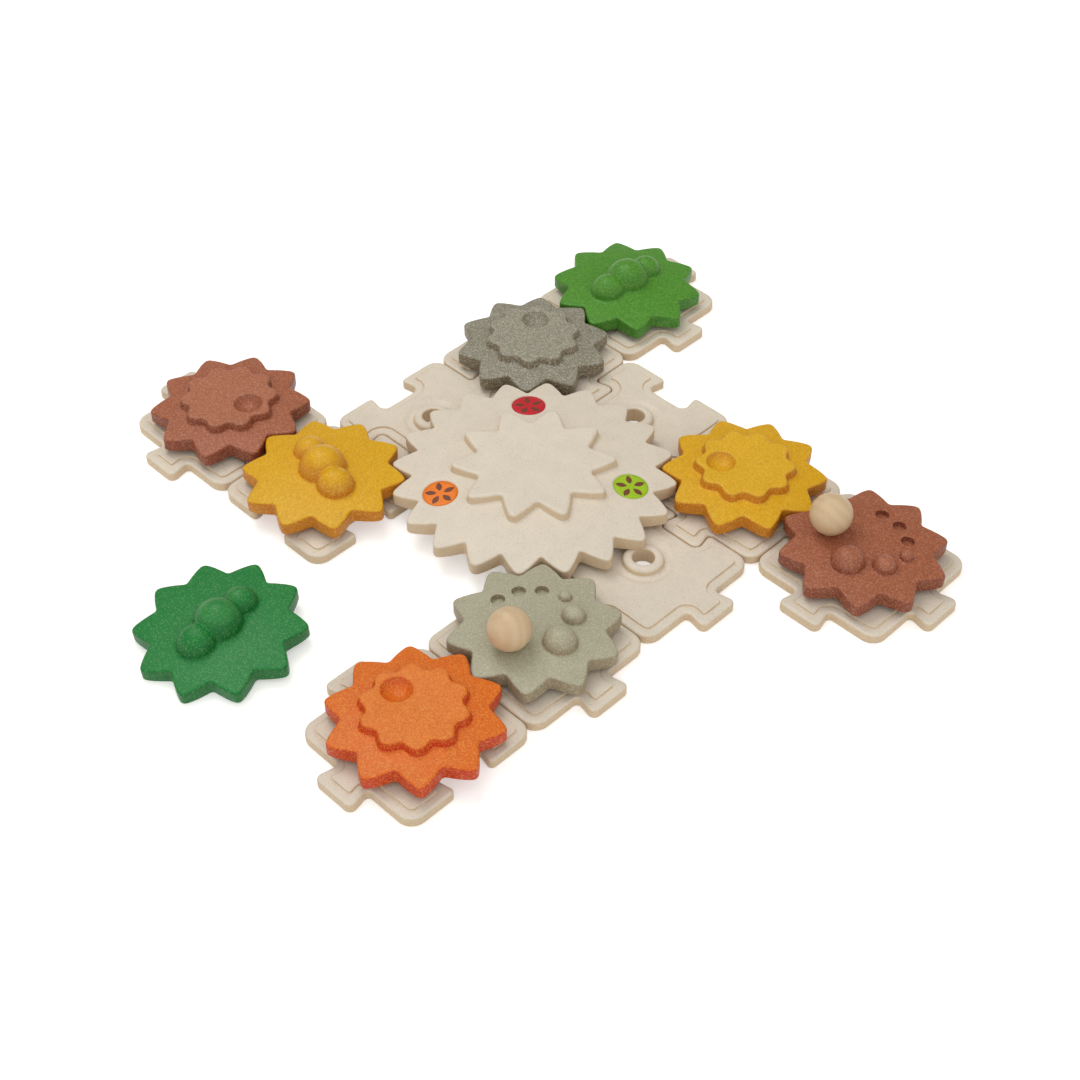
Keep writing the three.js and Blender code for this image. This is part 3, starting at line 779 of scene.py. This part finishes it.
# %% [markdown]
# ## The layers of a gear
# The first layer has the petals. Its lower edge is crisp and its upper edge is well rounded. A star
# stands on some gears: its wall springs from the dome with a fillet and rounds over to a level top.
# A blind socket in the underside holds the peg.

# %% Petal layer, star wall and peg socket
SOCKET_RADIUS, SOCKET_DEPTH, SOCKET_CHAMFER = 6.5, 4.5, 0.5
LOWER_ROUND, UPPER_ROUND = 0.6, 1.3


def petal_layer(outline, dome):
    """Underside with its socket, and the side wall. Gives the surfaces and the wall's last loop."""
    bottom, top, mouth = LOWER_ROUND, UPPER_ROUND, SOCKET_RADIUS + SOCKET_CHAMFER
    under = [(bottom + HOLD, 0), *arc((bottom, bottom), bottom, 270, 180, 4)]
    over = [*arc((top, THICKNESS - top), top, 180, 90, 7), (top + HOLD, THICKNESS)]
    wall = wall_loops(outline, under + over)
    upper = wall[len(under):]
    upper[..., 2] += dome(as_flat(upper))
    socket = [(share * SOCKET_RADIUS, SOCKET_DEPTH) for share in (0, 0.5, 1)]
    socket += [(SOCKET_RADIUS, SOCKET_CHAMFER), (mouth, 0), (mouth + HOLD, 0)]
    hole = turned_loops(socket, ROUND_POINTS)
    underside = filled(as_flat(wall[0]), as_flat(hole[-1]), facing=-1)
    return [skin(wall), skin(hole), underside], as_flat(wall[-1])


def star_wall(outline, dome, top, lean, foot, edge):
    """Fillet on the dome, wall that leans in by twice the lean, and rounded edge. Gives the surface and
    its first and last loops."""
    fillet = [(-lean - foot - HOLD, THICKNESS)]
    fillet += [*arc((-lean - foot, THICKNESS + foot), foot, 270, 360, 6)]
    crest = [*arc((lean + edge, top - edge), edge, 180, 90, 9), (lean + edge + HOLD, top)]
    wall = wall_loops(outline, fillet + crest)
    lower = wall[:len(fillet)]
    lower[..., 2] += dome(as_flat(lower))
    return skin(wall), as_flat(wall[0]), as_flat(wall[-1])


# %% [markdown]
# ## Three kinds of small gear
# One kind carries a star with a finger dimple, one carries a row of three bumps, and one carries a
# ball knob with three domes and three blind holes round it. The row's bumps run into each other, so
# their heights are joined by a soft maximum, and extra lines of points follow the two creases.

# %% Star gear
STAR_TOP = 16.0
DIMPLE_MOUTH, DIMPLE_DEPTH, DIMPLE_LIP, DIMPLE_OFFSET = 9.0, 5.5, 0.9, 14.7


def star_gear(dimple_petal):
    """Petal layer, star and one dimple over the given petal."""
    surfaces, rim = petal_layer(small_outline, small_dome)
    wall, foot, crest = star_wall(star_outline, small_dome, STAR_TOP, lean=0.5, foot=1.1, edge=1.6)
    centre = DIMPLE_OFFSET * degrees(dimple_petal * 360 / PETALS)
    profile = dimple_profile(DIMPLE_MOUTH, DIMPLE_DEPTH, DIMPLE_LIP)
    ground = filled(rim, foot, [face_points(rim, FACE_SPACING, foot)], small_dome, THICKNESS)
    top = filled(crest, None, [rings_of(profile, centre)], rise_of(profile, centre), STAR_TOP)
    return surfaces + [wall, ground, top]


# %% Gear with a row of bumps
MIDDLE_BUMP, NEAR_BUMP, FAR_BUMP, END_OFFSET = 14.5, 10.0, 11.4, 18.0
BUMP_FILLET = 1.8
CREASE, CREASE_BAND, CREASE_GAP = 1.4, 1.3, 1.5


def soft_max(first, second):
    """The greater of two heights, eased over CREASE where they are alike and above the flat."""
    width = np.minimum(CREASE, 2 * np.minimum(first, second)) + 1e-9
    blend = np.maximum(width - abs(first - second), 0) / width
    return np.maximum(first, second) + blend**2 * width / 4


def end_bump(radius):
    """Points of an end bump and of its crease, the row along +X, and where the crease lies."""
    crease = (END_OFFSET**2 + MIDDLE_BUMP**2 - radius**2) / (2 * END_OFFSET)
    rings = rings_of(bump_profile(radius, BUMP_FILLET), END_OFFSET)
    across = np.linspace(-0.86, 0.86, 61) * radius
    along = crease + CREASE_BAND * np.linspace(-1, 1, 7)
    waist = (along[:, None] + 1j * across).ravel()
    return np.concatenate([rings[rings.real > crease + CREASE_GAP], waist]), crease


def bump_gear(row_petal):
    """Petal layer with three bumps in a row through the middle."""
    surfaces, rim = petal_layer(small_outline, small_dome)
    row = degrees(row_petal * 360 / PETALS)
    middle, near, far = [bump_profile(radius, BUMP_FILLET) for radius in (MIDDLE_BUMP, NEAR_BUMP, FAR_BUMP)]
    bumps = [(middle, 0), (near, END_OFFSET * row), (far, -END_OFFSET * row)]
    near_points, near_crease = end_bump(NEAR_BUMP)
    far_points, far_crease = end_bump(FAR_BUMP)
    rings = rings_of(middle, 0)
    rings = rings[(rings.real < near_crease - CREASE_GAP) & (rings.real > CREASE_GAP - far_crease)]
    local = np.concatenate([rings, near_points, -far_points])

    def rise(points):
        """The dome, and the soft maximum of the three bumps."""
        heights = [rise_of(*bump)(points) for bump in bumps]
        return small_dome(points) + soft_max(heights[0], np.maximum(*heights[1:]))

    extra = [local * row, face_points(rim, FACE_SPACING, features=bumps)]
    return surfaces + [filled(rim, None, extra, rise, THICKNESS)]


# %% Gear with a ball knob
KNOB_RADIUS, KNOB_OFFSET, KNOB_LIFT = 12.5, 21.9, 0.4
STEM_RADIUS, STEM_DEPTH, STEM_KNOB_DEPTH, SEAT_GAP = 4.6, 5.0, 7.0, 0.3
KNOB_ANGLE = 290.8
DOMES = [(4.0, 25.8, 108.3), (7.0, 22.1, 71.2), (9.8, 20.5, 12.7)]
DOME_FILLET = 1.3
HOLE_RADIUS, HOLE_DEPTH, HOLE_LIP = 4.0, 3.5, 0.5
STEM_HOLE_LIP = 0.4
HOLES = [(27.7, 198.0), (26.4, 169.8), (25.4, 140.5)]


def knob_gear():
    """Petal layer with domes, blind holes and the stem's hole. No two of them overlap."""
    surfaces, rim = petal_layer(small_outline, small_dome)
    features = [
        (bump_profile(radius, DOME_FILLET), offset * degrees(angle)) for radius, offset, angle in DOMES]
    hole = hole_profile(HOLE_RADIUS, HOLE_DEPTH, HOLE_LIP)
    features += [(hole, offset * degrees(angle)) for offset, angle in HOLES]
    stem_hole = hole_profile(STEM_RADIUS + SEAT_GAP, STEM_DEPTH, STEM_HOLE_LIP)
    features.append((stem_hole, KNOB_OFFSET * degrees(KNOB_ANGLE)))
    extra = [rings_of(profile, centre) for profile, centre in features]
    extra.append(face_points(rim, FACE_SPACING, features=features))
    return surfaces + [filled(rim, None, extra, face_height(small_dome, features), THICKNESS)]


# %% [markdown]
# ## The big gear
# The big gear has twenty petals and a ten-petalled star on top, turned out of step with it. Three
# round recesses lie in the star's valleys, each with a print on its floor. A print is a coat of paint,
# so it is a thin disc of its own that follows the dome.

# %% Big gear
BIG_STAR_TOP, BIG_STAR_TURN = 18.0, 27.0
SPOT_RADIUS, SPOT_DEPTH, SPOT_OFFSET = 11.0, 0.6, 59.8
SPOT_CENTRES = {name: SPOT_OFFSET * degrees(angle)
                for name, angle in (("red", 225.0), ("lime", 117.0), ("orange", 333.0))}
PAINT, PRINT_INSET = 0.08, 0.4


def spot_profile():
    """A shallow round recess with a soft lip and a flat floor."""
    lip = 0.25
    edge = arc((SPOT_RADIUS + lip, -lip), lip, 90, 165, 4)
    floor = [(share * SPOT_RADIUS, -SPOT_DEPTH) for share in (0.97, 0.75, 0.5, 0.25, 0)]
    return np.concatenate([edge, floor])


def big_gear():
    """Petal layer with three recesses, and the star."""
    surfaces, rim = petal_layer(big_outline, big_dome)
    star = big_star_outline * degrees(BIG_STAR_TURN)
    wall, foot, crest = star_wall(star, big_dome, BIG_STAR_TOP, lean=0.25, foot=0.9, edge=2.2)
    spots = [(spot_profile(), centre) for centre in SPOT_CENTRES.values()]
    extra = [rings_of(profile, centre, ROUND_POINTS) for profile, centre in spots]
    extra.append(face_points(rim, BIG_FACE_SPACING, foot, spots))
    ground = filled(rim, foot, extra, face_height(big_dome, spots), THICKNESS)
    return surfaces + [wall, ground, filled(crest, level=BIG_STAR_TOP)]


def print_surfaces(centre):
    """A disc of paint on a recess floor, its two faces and its rim."""
    edge = circle(SPOT_RADIUS - PRINT_INSET, ROUND_POINTS, centre)
    inside = [circle(share * SPOT_RADIUS, ROUND_POINTS, centre) for share in (0.75, 0.5, 0.25)]
    low, high = THICKNESS - SPOT_DEPTH - PAINT, THICKNESS - SPOT_DEPTH + PAINT
    rim = np.array([lifted(edge, level + big_dome(edge)) for level in (low, high)])
    upper = filled(edge, None, inside, big_dome, high)
    return [skin(rim), upper, filled(edge, None, inside, big_dome, low, -1)]


# %% [markdown]
# ## Pegs, stems and ball knobs
# These are turned on a lathe, so each is a profile of radius against height, swept round an axis. The
# peg's end is crowned, and small edges are broken everywhere, because a turned edge is never sharp.

# %% Turned pieces
PEG_RADIUS, PEG_REACH, PEG_CROWN = 6.2, 3.2, 1.6
BROKEN_EDGE = 0.4
TURNED_POINTS = 64
KNOB_LEVEL = THICKNESS + small_dome(KNOB_OFFSET)


def broken_edge(radius, level, side):
    """The small round at the rim of a turned end: side is 1 for the upper end and -1 for the lower."""
    start = 0 if side == 1 else 270
    return arc((radius - BROKEN_EDGE, level - side * BROKEN_EDGE), BROKEN_EDGE, start, start + 90, 4)


def peg_surfaces():
    """Axle peg: crowned lower end, straight side and a flat top inside the gear."""
    top = SOCKET_DEPTH - SEAT_GAP
    angle = np.radians(np.linspace(0, 90, 9))
    crown = np.stack([PEG_RADIUS * np.sin(angle), PEG_CROWN * (1 - np.cos(angle)) - PEG_REACH], 1)
    profile = [*crown, *broken_edge(PEG_RADIUS, top, 1), (0.5 * PEG_RADIUS, top), (0, top)]
    return [skin(turned_loops(profile, TURNED_POINTS))]


def stem_surfaces():
    """The pin that carries the ball knob."""
    low, high = KNOB_LEVEL - STEM_DEPTH + SEAT_GAP, KNOB_LEVEL + KNOB_LIFT + STEM_KNOB_DEPTH
    profile = [(0, low), (0.5 * STEM_RADIUS, low), *broken_edge(STEM_RADIUS, low, -1)]
    profile += [*broken_edge(STEM_RADIUS, high, 1), (0.5 * STEM_RADIUS, high), (0, high)]
    return [skin(turned_loops(profile, TURNED_POINTS))]


def knob_surfaces():
    """The ball, with the blind hole that the pin fills from below."""
    centre = KNOB_LEVEL + KNOB_LIFT + KNOB_RADIUS
    roof = KNOB_LEVEL + KNOB_LIFT + STEM_KNOB_DEPTH + SEAT_GAP
    bore = STEM_RADIUS + SEAT_GAP
    mouth = bore + BROKEN_EDGE
    lean = math.degrees(math.asin(mouth / KNOB_RADIUS))
    profile = [(0, roof), (0.5 * STEM_RADIUS, roof), (bore, roof)]
    profile += [(bore, centre - math.sqrt(KNOB_RADIUS**2 - mouth**2) + BROKEN_EDGE)]
    profile += [*arc((0, centre), KNOB_RADIUS, lean - 90, 90, 40)]
    profile[-1] = (0, centre + KNOB_RADIUS)
    return [skin(turned_loops(profile, TURNED_POINTS))]


# %% [markdown]
# ## Setting the gears in mesh
# Each gear stands on its joint's axis. Its turn is chosen so that petals fall into valleys all along
# the train, and a gear's own features are brought round by whole petals.

# %% Place the nine meshed gears
GEARS = {
    "big": (big_gear(), -87.0), "gray": (star_gear(4), -15.0), "green": (bump_gear(2.5), -3.0),
    "yellow_left": (bump_gear(4.5), 3.0), "brown_left": (star_gear(0), 15.0),
    "yellow_right": (star_gear(6), 3.0), "brown_right": (knob_gear(), -93.0),
    "light_gray": (knob_gear(), -15.0), "orange": (star_gear(5), -3.0),
}
GEAR_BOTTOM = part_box("gray_gear")[0].z / MM
peg_shape, stem_shape, knob_shape = peg_surfaces(), stem_surfaces(), knob_surfaces()
knob_spot = KNOB_OFFSET * degrees(KNOB_ANGLE)
gear_places = {}
for gear, (shape, turn) in GEARS.items():
    axis = joint_of[f"{gear}_gear_spin"]
    place = Matrix.Translation((axis.x, axis.y, GEAR_BOTTOM)) @ Matrix.Rotation(math.radians(turn), 4, "Z")
    gear_places[gear] = place
    make_piece(f"petal_gear_{gear}", f"{gear}_gear", shape, place)
    make_piece(f"axle_peg_{gear}", f"{gear}_gear_peg", peg_shape, place)
    if f"{gear}_knob" in frame["nodes"]:
        offset = place @ Matrix.Translation((knob_spot.real, knob_spot.imag, 0))
        make_piece(f"knob_pin_{gear}", f"{gear}_knob_stem", stem_shape, offset)
        make_piece(f"ball_knob_{gear}", f"{gear}_knob", knob_shape, offset)

# %% [markdown]
# ## Prints in the recesses
# Each recess has a bright coat of paint with a small rosette of five brown leaves. A lens makes a leaf:
# its half width falls with the square of the distance from its own middle. The angle is first folded
# into one fifth of a turn, so one leaf is drawn and five appear.

# %% The rosette's group
LEAVES = 5
LEAF_MIDDLE, LEAF_REACH, LEAF_WIDTH, LEAF_EDGE = 5.8, 3.6, 1.8, 4


def rosette_group():
    """A mask of leaves round the origin, from a place in millimetres."""
    tree, given, result = open_group("leaf rosette", [("Place", "NodeSocketVector")], [("Mask", VALUE)])
    flat = do_vector(tree, "MULTIPLY", {0: given["Place"], 1: (1, 1, 0)})
    distance = do_vector(tree, "LENGTH", {0: flat}, "Value")
    parts = add_node(tree, "SeparateXYZ", {0: flat}).outputs
    angle = do_math(tree, "ARCTAN2", parts["Y"], parts["X"])
    folded = do_math(tree, "WRAP", angle, math.pi / LEAVES, -math.pi / LEAVES)
    along = do_math(tree, "MULTIPLY", distance, do_math(tree, "COSINE", folded))
    across = do_math(tree, "ABSOLUTE", do_math(tree, "MULTIPLY", distance, do_math(tree, "SINE", folded)))
    reach = do_math(tree, "MULTIPLY_ADD", along, 1 / LEAF_REACH, -LEAF_MIDDLE / LEAF_REACH)
    squared = do_math(tree, "MULTIPLY", reach, reach)
    width = do_math(tree, "MULTIPLY_ADD", squared, -LEAF_WIDTH, LEAF_WIDTH)
    inside = do_math(tree, "SUBTRACT", width, across)
    fill_inputs(tree, result, {"Mask": do_math(tree, "MULTIPLY_ADD", inside, LEAF_EDGE, 0.5, clamp=True)})
    return tree


leaf_rosette = rosette_group()
print("rosette nodes", len(leaf_rosette.nodes))


# %% Three prints
PRINTS = {"red": srgb(198, 32, 44), "lime": srgb(160, 196, 36), "orange": srgb(238, 126, 34)}
INK = srgb(112, 62, 44)
PRINT_GRAIN = (0.0, 0.06, 0.35, 1.0)


def print_material(name, ground, middle):
    """Paint that lets a little of the wood's grain through, with the rosette about a point in millimetres."""
    material = dyed_wood(name, [ground, ground, ground, INK], PRINT_GRAIN)
    tree = material.node_tree
    own = do_vector(tree, "SUBTRACT", {0: place_in_mm(tree), 1: middle})
    mask = add_node(tree, "Group", {"Place": own}, node_tree=leaf_rosette).outputs[0]
    dye = mix_colours(tree, mask, ground, INK)
    fill_inputs(tree, tree.nodes["wood"], {"Dye": dye, "Painted wall shade": dye})
    return material


for colour, ground in PRINTS.items():
    centre = SPOT_CENTRES[colour]
    middle = gear_places["big"] @ Vector((centre.real, centre.imag, 0))
    finish = print_material(f"{colour} print", ground, middle)
    make_piece(f"print_{colour}", "big_gear", print_surfaces(centre), gear_places["big"], finish)

# %% [markdown]
# ## The loose gear
# The tenth gear lies on the floor. Its peg points down, so it leans: it rests on the peg and on two
# petals of its low side.

# %% Place the loose gear
LOOSE_OFFSET = Vector((-39.5, -209.3, 0))
LOOSE_TURN = math.radians(8.3)
rest_radius = (SMALL_TIP - UPPER_ROUND) * math.cos(math.pi / PETALS)
lean = math.asin(PEG_REACH / rest_radius)
leaning = Matrix.Rotation(LOOSE_TURN, 4, "Z") @ Matrix.Rotation(lean, 4, "X")
loose_shape = bump_gear(2.5)
lowest = min(turned_to(leaning)(points)[:, 2].min() for points, _ in loose_shape + peg_shape)
loose_spot = Vector((big_axis.x, big_axis.y, -lowest)) + LOOSE_OFFSET
place = Matrix.Translation(loose_spot) @ leaning
make_piece("petal_gear_loose", "loose_gear", loose_shape, place)
make_piece("axle_peg_loose", "loose_gear_peg", peg_shape, place)
print("lift of the loose gear in mm", round(-lowest, 3))

# %% [markdown]
# ## Light and floor
# A plain studio shot has a broad soft lamp above the far left, and a large soft ceiling that leans
# towards the camera and fades out low down on the far side. Together they give a level face about the
# brightness at which a colour looks as it is written. Satin faces that tip away mirror the dim part,
# so their dye looks deep. The floor and the low band of backdrop show white to the camera, and the
# floor keeps the soft shadows.

# %% Floor, lamp and world
CEILING_LEVEL, FAR_LEVEL = 0.96, 0.2
WHITE, FAR_TINT = (1, 1, 1, 1), (1.0, 0.9, 0.78, 1.0)
CEILING_LEAN = Vector((0.5, -0.5, 0.707))
CEILING_FADE, BAND_FADE = (-0.1, 0.75), (0.4, 0.15)
KEY_SPOT, KEY_SIZE, KEY_POWER = Vector((-0.66, 0.08, 1.35)), 0.9, 7.0
FLOOR_SIZE, FLOOR_GLOW = 8.0, 0.4


def seen_directly(tree):
    """1 for rays from the camera and for mirror and glass rays, 0 for light that bounces."""
    rays = add_node(tree, "LightPath").outputs
    seen = do_math(tree, "MAXIMUM", rays["Is Camera Ray"], rays["Is Glossy Ray"])
    return do_math(tree, "MAXIMUM", seen, rays["Is Transmission Ray"])


floor_mesh = bpy.data.meshes.new("floor")
floor_corners = [(x * FLOOR_SIZE, y * FLOOR_SIZE, 0) for x, y in ((-1, -1), (1, -1), (1, 1), (-1, 1))]
floor_mesh.from_pydata(floor_corners, [], [(0, 1, 2, 3)])
floor = add_object("floor", floor_mesh)
floor_material, floor_tree, floor_shader = new_material("pale floor", (0.9, 0.9, 0.9, 1))
fill_inputs(floor_tree, floor_shader, {
    "Base Color": (0.92, 0.9, 0.87, 1), "Roughness": 0.9, "Specular IOR Level": 0.0, "Emission Color": WHITE,
    "Emission Strength": do_math(floor_tree, "MULTIPLY", seen_directly(floor_tree), FLOOR_GLOW)})
floor_mesh.materials.append(floor_material)

world = bpy.data.worlds.new("soft world")
bpy.context.scene.world = world
world.use_nodes = True
sky = world.node_tree
direction = add_node(sky, "TexCoord").outputs["Generated"]
upward = do_vector(sky, "DOT_PRODUCT", {0: direction, 1: CEILING_LEAN}, "Value")
overhead = fade(sky, upward, *CEILING_FADE)
low_band = do_math(sky, "MULTIPLY", seen_directly(sky), fade(sky, height_of(sky, direction), *BAND_FADE))
ceiling = do_math(sky, "MULTIPLY_ADD", overhead, CEILING_LEVEL - FAR_LEVEL, FAR_LEVEL)
band_rise = do_math(sky, "MULTIPLY", do_math(sky, "SUBTRACT", 1.0, ceiling), low_band)
whiteness = do_math(sky, "MAXIMUM", overhead, low_band)
fill_inputs(sky, sky.nodes["Background"], {
    "Strength": do_math(sky, "ADD", ceiling, band_rise),
    "Color": mix_colours(sky, whiteness, FAR_TINT, WHITE)})

key_data = bpy.data.lights.new("key", "AREA")
key_data.shape = "DISK"
key_data.size = KEY_SIZE
key_data.energy = KEY_POWER
key = add_object("key", key_data)
key.location = KEY_SPOT
key.rotation_euler = (-KEY_SPOT).to_track_quat("-Z", "Y").to_euler()

bpy.context.scene.view_settings.view_transform = "Standard"
print("lights", len(bpy.data.lights))
